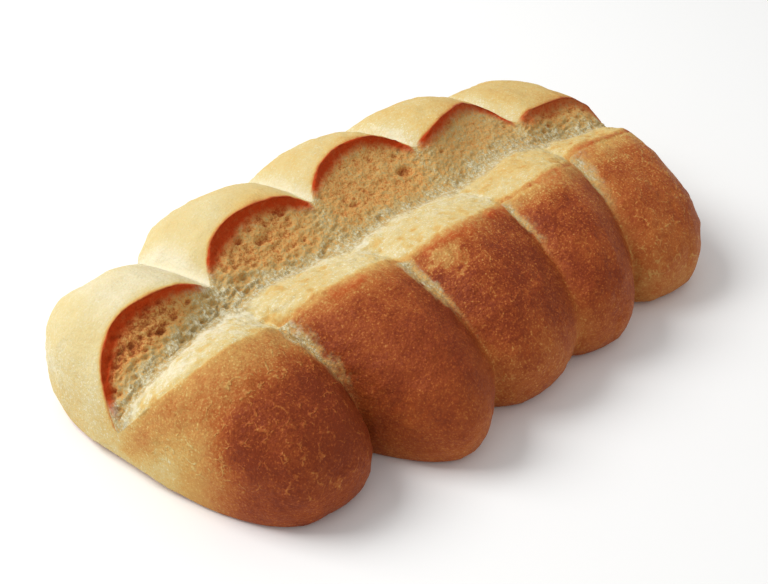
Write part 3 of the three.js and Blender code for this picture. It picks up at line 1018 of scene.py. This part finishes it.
# Colours are screen colours, 0 to 255. Each stop is a tone and its colour.
CRUST_COLOURS = [
    (0.00, (226, 217, 186)),
    (0.15, (213, 195, 142)),
    (0.30, (211, 180, 112)),
    (0.45, (203, 156, 86)),
    (0.60, (192, 133, 70)),
    (0.75, (176, 98, 43)),
    (0.88, (153, 71, 28)),
    (1.00, (126, 50, 18)),
]
CRUMB_COLOURS = [
    (0.00, (213, 204, 171)),
    (0.20, (193, 175, 129)),
    (0.40, (193, 161, 102)),
    (0.60, (212, 161, 92)),
    (0.80, (192, 122, 62)),
    (1.00, (158, 84, 40)),
]
# Red of scorched skin, used also as painted shade under the lips.
SCORCH_AND_SHADE_COLOUR = (184, 62, 12)

# Kinds of grain: size in millimetres, detail, roughness and distortion.
SPECK = (0.7, 2.0, 0.6, 0.0)
FLECK = (1.8, 3.0, 0.6, 0.0)
PATCH = (9.0, 3.0, 0.55, 0.0)
PIMPLE = (0.9, 3.0, 0.6, 0.0)
HAIR = (0.9, 2.0, 0.5, 1.2)
CRACKLE_PATCH = (3.5, 2.0, 0.5, 0.0)
CRACKLE_BENDS = (2.5, 2.0, 0.5, 0.0)

# Sizes of cells and of the crackle's bends, in millimetres.
DOT_SIZE = 1.5
CRUMB_CELL_SIZE = 1.3
CRACKLE_CELL_SIZE = 5.0
CRACKLE_BEND = 3.0
HAIR_STRETCH = (1.0, 0.3, 0.3)

# What crackle lines and the scab add to the bake.
CRACKLE_BAKE = -0.17
SCAB_BAKE = -0.24

# Strength of the fine relief, and the surface.
CRACKLE_RELIEF = 0.5
CELL_RELIEF = 0.9
HAIR_RELIEF = -1.5
FINE_STRENGTH = 0.7
FINE_DEPTH = 0.6  # millimetres
SURFACE = {
    "Subsurface Weight": 0.06,
    "Subsurface Radius": (1.0, 0.45, 0.2),
    "Subsurface Scale": 0.002,
    "Specular IOR Level": 0.15,
}


def node(tree, kind, **settings):
    """A new node of the tree, with its settings."""
    made = tree.nodes.new(kind)
    for key, value in settings.items():
        setattr(made, key, value)
    return made


def feed(tree, socket, value):
    """Gives an input socket a link, or else a plain value."""
    if isinstance(value, bpy.types.NodeSocket):
        tree.links.new(value, socket)
    else:
        socket.default_value = value


def fed(tree, made, **sockets):
    """Feeds a node's input sockets by name; an underscore stands for a space."""
    for key, value in sockets.items():
        feed(tree, made.inputs[key.replace("_", " ")], value)
    return made


def srgb(red, green, blue):
    """A screen colour, 0 to 255, as the linear colour that sockets take."""
    parts = [c / 255 for c in (red, green, blue)]
    return [c / 12.92 if c <= 0.04045 else ((c + 0.055) / 1.055) ** 2.4 for c in parts] + [1.0]


def ramp(tree, fac, stops):
    """A colour ramp through the stops, each a place and a screen colour."""
    made = node(tree, "ShaderNodeValToRGB")
    elements = made.color_ramp.elements
    while len(elements) < len(stops):
        elements.new(0.5)
    for element, (place, colour) in zip(elements, stops):
        element.position = place
        element.color = srgb(*colour)
    tree.links.new(fac, made.inputs["Fac"])
    return made.outputs["Color"]


def maths(tree, operation, a, b, clamp=False):
    """One sum on two numbers or sockets."""
    made = node(tree, "ShaderNodeMath", operation=operation, use_clamp=clamp)
    feed(tree, made.inputs[0], a)
    feed(tree, made.inputs[1], b)
    return made.outputs[0]


def plus(tree, a, b, clamp=False):
    """The sum of two numbers or sockets."""
    return maths(tree, "ADD", a, b, clamp)


def times(tree, a, b, clamp=False):
    """The product of two numbers or sockets."""
    return maths(tree, "MULTIPLY", a, b, clamp)


def grain(tree, place, kind, output="Fac"):
    """Noise from 0 to 1 of the given kind."""
    size, detail, roughness, bend = kind
    made = node(tree, "ShaderNodeTexNoise", noise_dimensions="3D")
    fed(tree, made, Vector=place, Scale=1 / (size * MM), Detail=detail)
    return fed(tree, made, Roughness=roughness, Distortion=bend).outputs[output]


def cells(tree, place, size, feature="F1"):
    """Distance to the nearest cell point, or to the cell's edge, for cells of the given size."""
    made = node(tree, "ShaderNodeTexVoronoi", feature=feature)
    fed(tree, made, Vector=place, Scale=1 / (size * MM))
    return made.outputs["Distance"]


def span(tree, value, low, high, to_low=0.0, to_high=1.0):
    """The value's range low to high stretched smoothly over to_low to to_high."""
    made = node(tree, "ShaderNodeMapRange", interpolation_type="SMOOTHSTEP")
    fed(tree, made, Value=value, From_Min=low, From_Max=high, To_Min=to_low, To_Max=to_high)
    return made.outputs["Result"]


def hairs(tree, place):
    """Noise drawn out into fine hairs that run across the slash, from 0 to 1."""
    stretched = fed(tree, node(tree, "ShaderNodeMapping"), Vector=place, Scale=HAIR_STRETCH)
    return grain(tree, stretched.outputs[0], HAIR)


def crackle_lines(tree, place):
    """1 on thin wandering lines: the edges of large bent cells, kept only in scattered patches."""
    bend = grain(tree, place, CRACKLE_BENDS, "Color")
    bent = node(tree, "ShaderNodeVectorMath", operation="MULTIPLY_ADD")
    for socket, value in zip(bent.inputs, (bend, (CRACKLE_BEND * MM,) * 3, place)):
        feed(tree, socket, value)
    edges = cells(tree, bent.outputs[0], CRACKLE_CELL_SIZE, "DISTANCE_TO_EDGE")
    kept = span(tree, grain(tree, place, CRACKLE_PATCH), 0.50, 0.62)
    return times(tree, span(tree, edges, 0.08, 0.02), kept)


def blended(tree, share, a, b):
    """Colour a where share is 0 and b where it is 1."""
    made = node(tree, "ShaderNodeMix", data_type="RGBA")
    for place, value in ((0, share), (6, a), (7, b)):
        feed(tree, made.inputs[place], value)
    return made.outputs[2]


def crust_colour(tree, place, tones, crackle):
    """Mottled bake, faint on the pale side, with fine specks, dots and pale crackle lines."""
    speck, fleck = grain(tree, place, SPECK), grain(tree, place, FLECK)
    mottle = span(tree, grain(tree, place, PATCH), 0.3, 0.7, -0.04, 0.04)
    mottle = plus(tree, mottle, span(tree, fleck, 0.25, 0.75, -0.05, 0.05))
    mottle = plus(tree, mottle, span(tree, speck, 0.3, 0.55, 0.05, 0.0))
    mottle = plus(tree, mottle, span(tree, speck, 0.55, 0.72, 0.0, -0.19))
    dots = span(tree, cells(tree, place, DOT_SIZE), 0.26, 0.10, 0.0, -0.12)
    mottle = plus(tree, mottle, times(tree, dots, tones["bake"]))
    mottled = plus(tree, tones["bake"], times(tree, mottle, tones["mottling"]))
    mottled = plus(tree, mottled, times(tree, crackle, CRACKLE_BAKE))
    mottled = plus(tree, mottled, times(tree, tones["scab"], SCAB_BAKE), clamp=True)
    return ramp(tree, mottled, CRUST_COLOURS)


def crumb_colour(tree, place, tones, hair):
    """A broken mix of pale walls and darker holes in painted shade, with hairs where it is palest."""
    speck, fleck = grain(tree, place, SPECK), grain(tree, place, FLECK)
    uneven = plus(tree, tones["tone"], span(tree, fleck, 0.25, 0.75, -0.15, 0.15))
    uneven = plus(tree, uneven, hair)
    uneven = plus(tree, uneven, span(tree, speck, 0.3, 0.7, -0.15, 0.15), clamp=True)
    return ramp(tree, uneven, CRUMB_COLOURS)


def fine_relief(tree, place, crackle, hair, edge):
    """Pimples and pits in the crust, open cells and hairs in the crumb, as a surface normal."""
    crust = plus(tree, grain(tree, place, PIMPLE), times(tree, crackle, CRACKLE_RELIEF))
    crumb = times(tree, cells(tree, place, CRUMB_CELL_SIZE), CELL_RELIEF)
    crumb = plus(tree, crumb, grain(tree, place, SPECK))
    crumb = plus(tree, crumb, times(tree, hair, HAIR_RELIEF))
    height = blended(tree, edge, crust, crumb)
    made = node(tree, "ShaderNodeBump")
    fed(tree, made, Height=height, Strength=FINE_STRENGTH, Distance=FINE_DEPTH * MM)
    return made.outputs[0]


def bread_finish():
    """Baked crust and open crumb in one matt finish, steered by the loaf's tones."""
    made = bpy.data.materials.new("baked_bread")
    made.use_nodes = True
    tree = made.node_tree
    tree.nodes.clear()
    out = node(tree, "ShaderNodeOutputMaterial")
    bsdf = node(tree, "ShaderNodeBsdfPrincipled")
    tree.links.new(bsdf.outputs[0], out.inputs["Surface"])
    place = node(tree, "ShaderNodeTexCoord").outputs["Object"]
    tones = {
        name: node(tree, "ShaderNodeAttribute", attribute_name=name).outputs["Fac"]
        for name in ("bake", "crumb", "tone", "scorch_and_shade", "scab", "crackled", "mottling")
    }
    fleck = grain(tree, place, FLECK)
    crackle = times(tree, crackle_lines(tree, place), tones["crackled"])
    palest = span(tree, tones["tone"], 0.45, 0.2)
    # Where the hair noise is high the bump sinks the crumb and its tone darkens: painted shade between
    # the fibres.
    hair = times(tree, span(tree, hairs(tree, place), 0.3, 0.7, -0.12, 0.22), palest)

    # The crumb's edge is ragged, and the red lies over both: scorch with painted shade under the lips,
    # scorch alone in the ridge patches.
    edge = span(tree, plus(tree, tones["crumb"], span(tree, fleck, 0.2, 0.8, -0.22, 0.22)), 0.15, 0.85)
    crust = crust_colour(tree, place, tones, crackle)
    crumb = crumb_colour(tree, place, tones, hair)
    scorch_and_shade_mix = plus(tree, tones["scorch_and_shade"], span(tree, fleck, 0.25, 0.75, -0.10, 0.10))
    scorch_and_shade_mix = times(tree, scorch_and_shade_mix, span(tree, tones["scorch_and_shade"], 0.0, 0.2), clamp=True)
    colour = blended(tree, scorch_and_shade_mix, blended(tree, edge, crust, crumb), srgb(*SCORCH_AND_SHADE_COLOUR))

    normal = fine_relief(tree, place, crackle, hair, edge)
    rough = span(tree, tones["bake"], 0.3, 0.9, 0.78, 0.55)
    fed(tree, bsdf, Base_Color=colour, Normal=normal, Roughness=rough)
    for name, value in SURFACE.items():
        bsdf.inputs[name].default_value = value
    return made


loaf = make_loaf()
loaf.data.materials.append(bread_finish())
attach(loaf, "root")
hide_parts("loaf")


# ---- Floor, light and camera ----

FLOOR_HALF_SIZE = 3.0
FLOOR_COLOUR = (0.93, 0.93, 0.92, 1)
FLOOR_ROUGHNESS = 0.9
CAMERA_AZIMUTH = -42.72
CAMERA_ELEVATION = 36.24
CAMERA_PLACE = (-264.6, -275.2, 288.8)  # millimetres
CAMERA_LENS = 64.0
CAMERA_SENSOR = 36.0
CAMERA_RANGE = (0.01, 20)

KEY_AZIMUTH = -140
KEY_ELEVATION = 48
KEY_DISTANCE = 1.2
KEY_SIZE = 0.7
KEY_POWER = 11.7
SKY_STRENGTH = 0.585


def make_floor():
    """One flat matt square, level with the loaf's base."""
    paint = bpy.data.materials.new("pale_floor")
    paint.use_nodes = True
    bsdf = paint.node_tree.nodes["Principled BSDF"]
    bsdf.inputs["Base Color"].default_value = FLOOR_COLOUR
    bsdf.inputs["Roughness"].default_value = FLOOR_ROUGHNESS
    h = FLOOR_HALF_SIZE
    mesh = bpy.data.meshes.new("floor")
    mesh.from_pydata([(-h, -h, 0), (h, -h, 0), (h, h, 0), (-h, h, 0)], [], [(0, 1, 2, 3)])
    floor = bpy.data.objects.new("floor", mesh)
    bpy.context.scene.collection.objects.link(floor)
    mesh.materials.append(paint)
    return floor


def back_direction(azimuth, elevation):
    """From the object towards the viewer, by azimuth from -Y round to +X and by elevation."""
    a, e = math.radians(azimuth), math.radians(elevation)
    return np.array([math.sin(a) * math.cos(e), -math.cos(a) * math.cos(e), math.sin(e)])


def facing(back, azimuth):
    """The turn of a camera or lamp that looks along -back, with its right side level."""
    a = math.radians(azimuth)
    right = np.array([math.cos(a), math.sin(a), 0])
    up = np.cross(back, right)
    turn = Matrix(np.stack([right, up, back], axis=1).tolist())
    return turn.to_euler()


def make_camera():
    """The camera at the photograph's place and angle."""
    data = bpy.data.cameras.new("camera")
    data.lens = CAMERA_LENS
    data.sensor_width = CAMERA_SENSOR
    data.clip_start, data.clip_end = CAMERA_RANGE
    camera = bpy.data.objects.new("camera", data)
    camera.location = np.array(CAMERA_PLACE) * MM
    camera.rotation_euler = facing(back_direction(CAMERA_AZIMUTH, CAMERA_ELEVATION), CAMERA_AZIMUTH)
    bpy.context.scene.collection.objects.link(camera)
    bpy.context.scene.camera = camera


def make_light():
    """A large soft square key from the pale side, and an even pale sky."""
    data = bpy.data.lights.new("key", "AREA")
    data.size = KEY_SIZE
    data.energy = KEY_POWER
    key = bpy.data.objects.new("key", data)
    back = back_direction(KEY_AZIMUTH, KEY_ELEVATION)
    key.location = back * KEY_DISTANCE
    key.rotation_euler = facing(back, KEY_AZIMUTH)
    bpy.context.scene.collection.objects.link(key)
    world = bpy.data.worlds.new("pale_sky")
    world.use_nodes = True
    background = world.node_tree.nodes["Background"]
    background.inputs["Color"].default_value = (1, 1, 1, 1)
    background.inputs["Strength"].default_value = SKY_STRENGTH
    bpy.context.scene.world = world
    bpy.context.scene.view_settings.view_transform = "Standard"


floor = make_floor()
make_camera()
make_light()
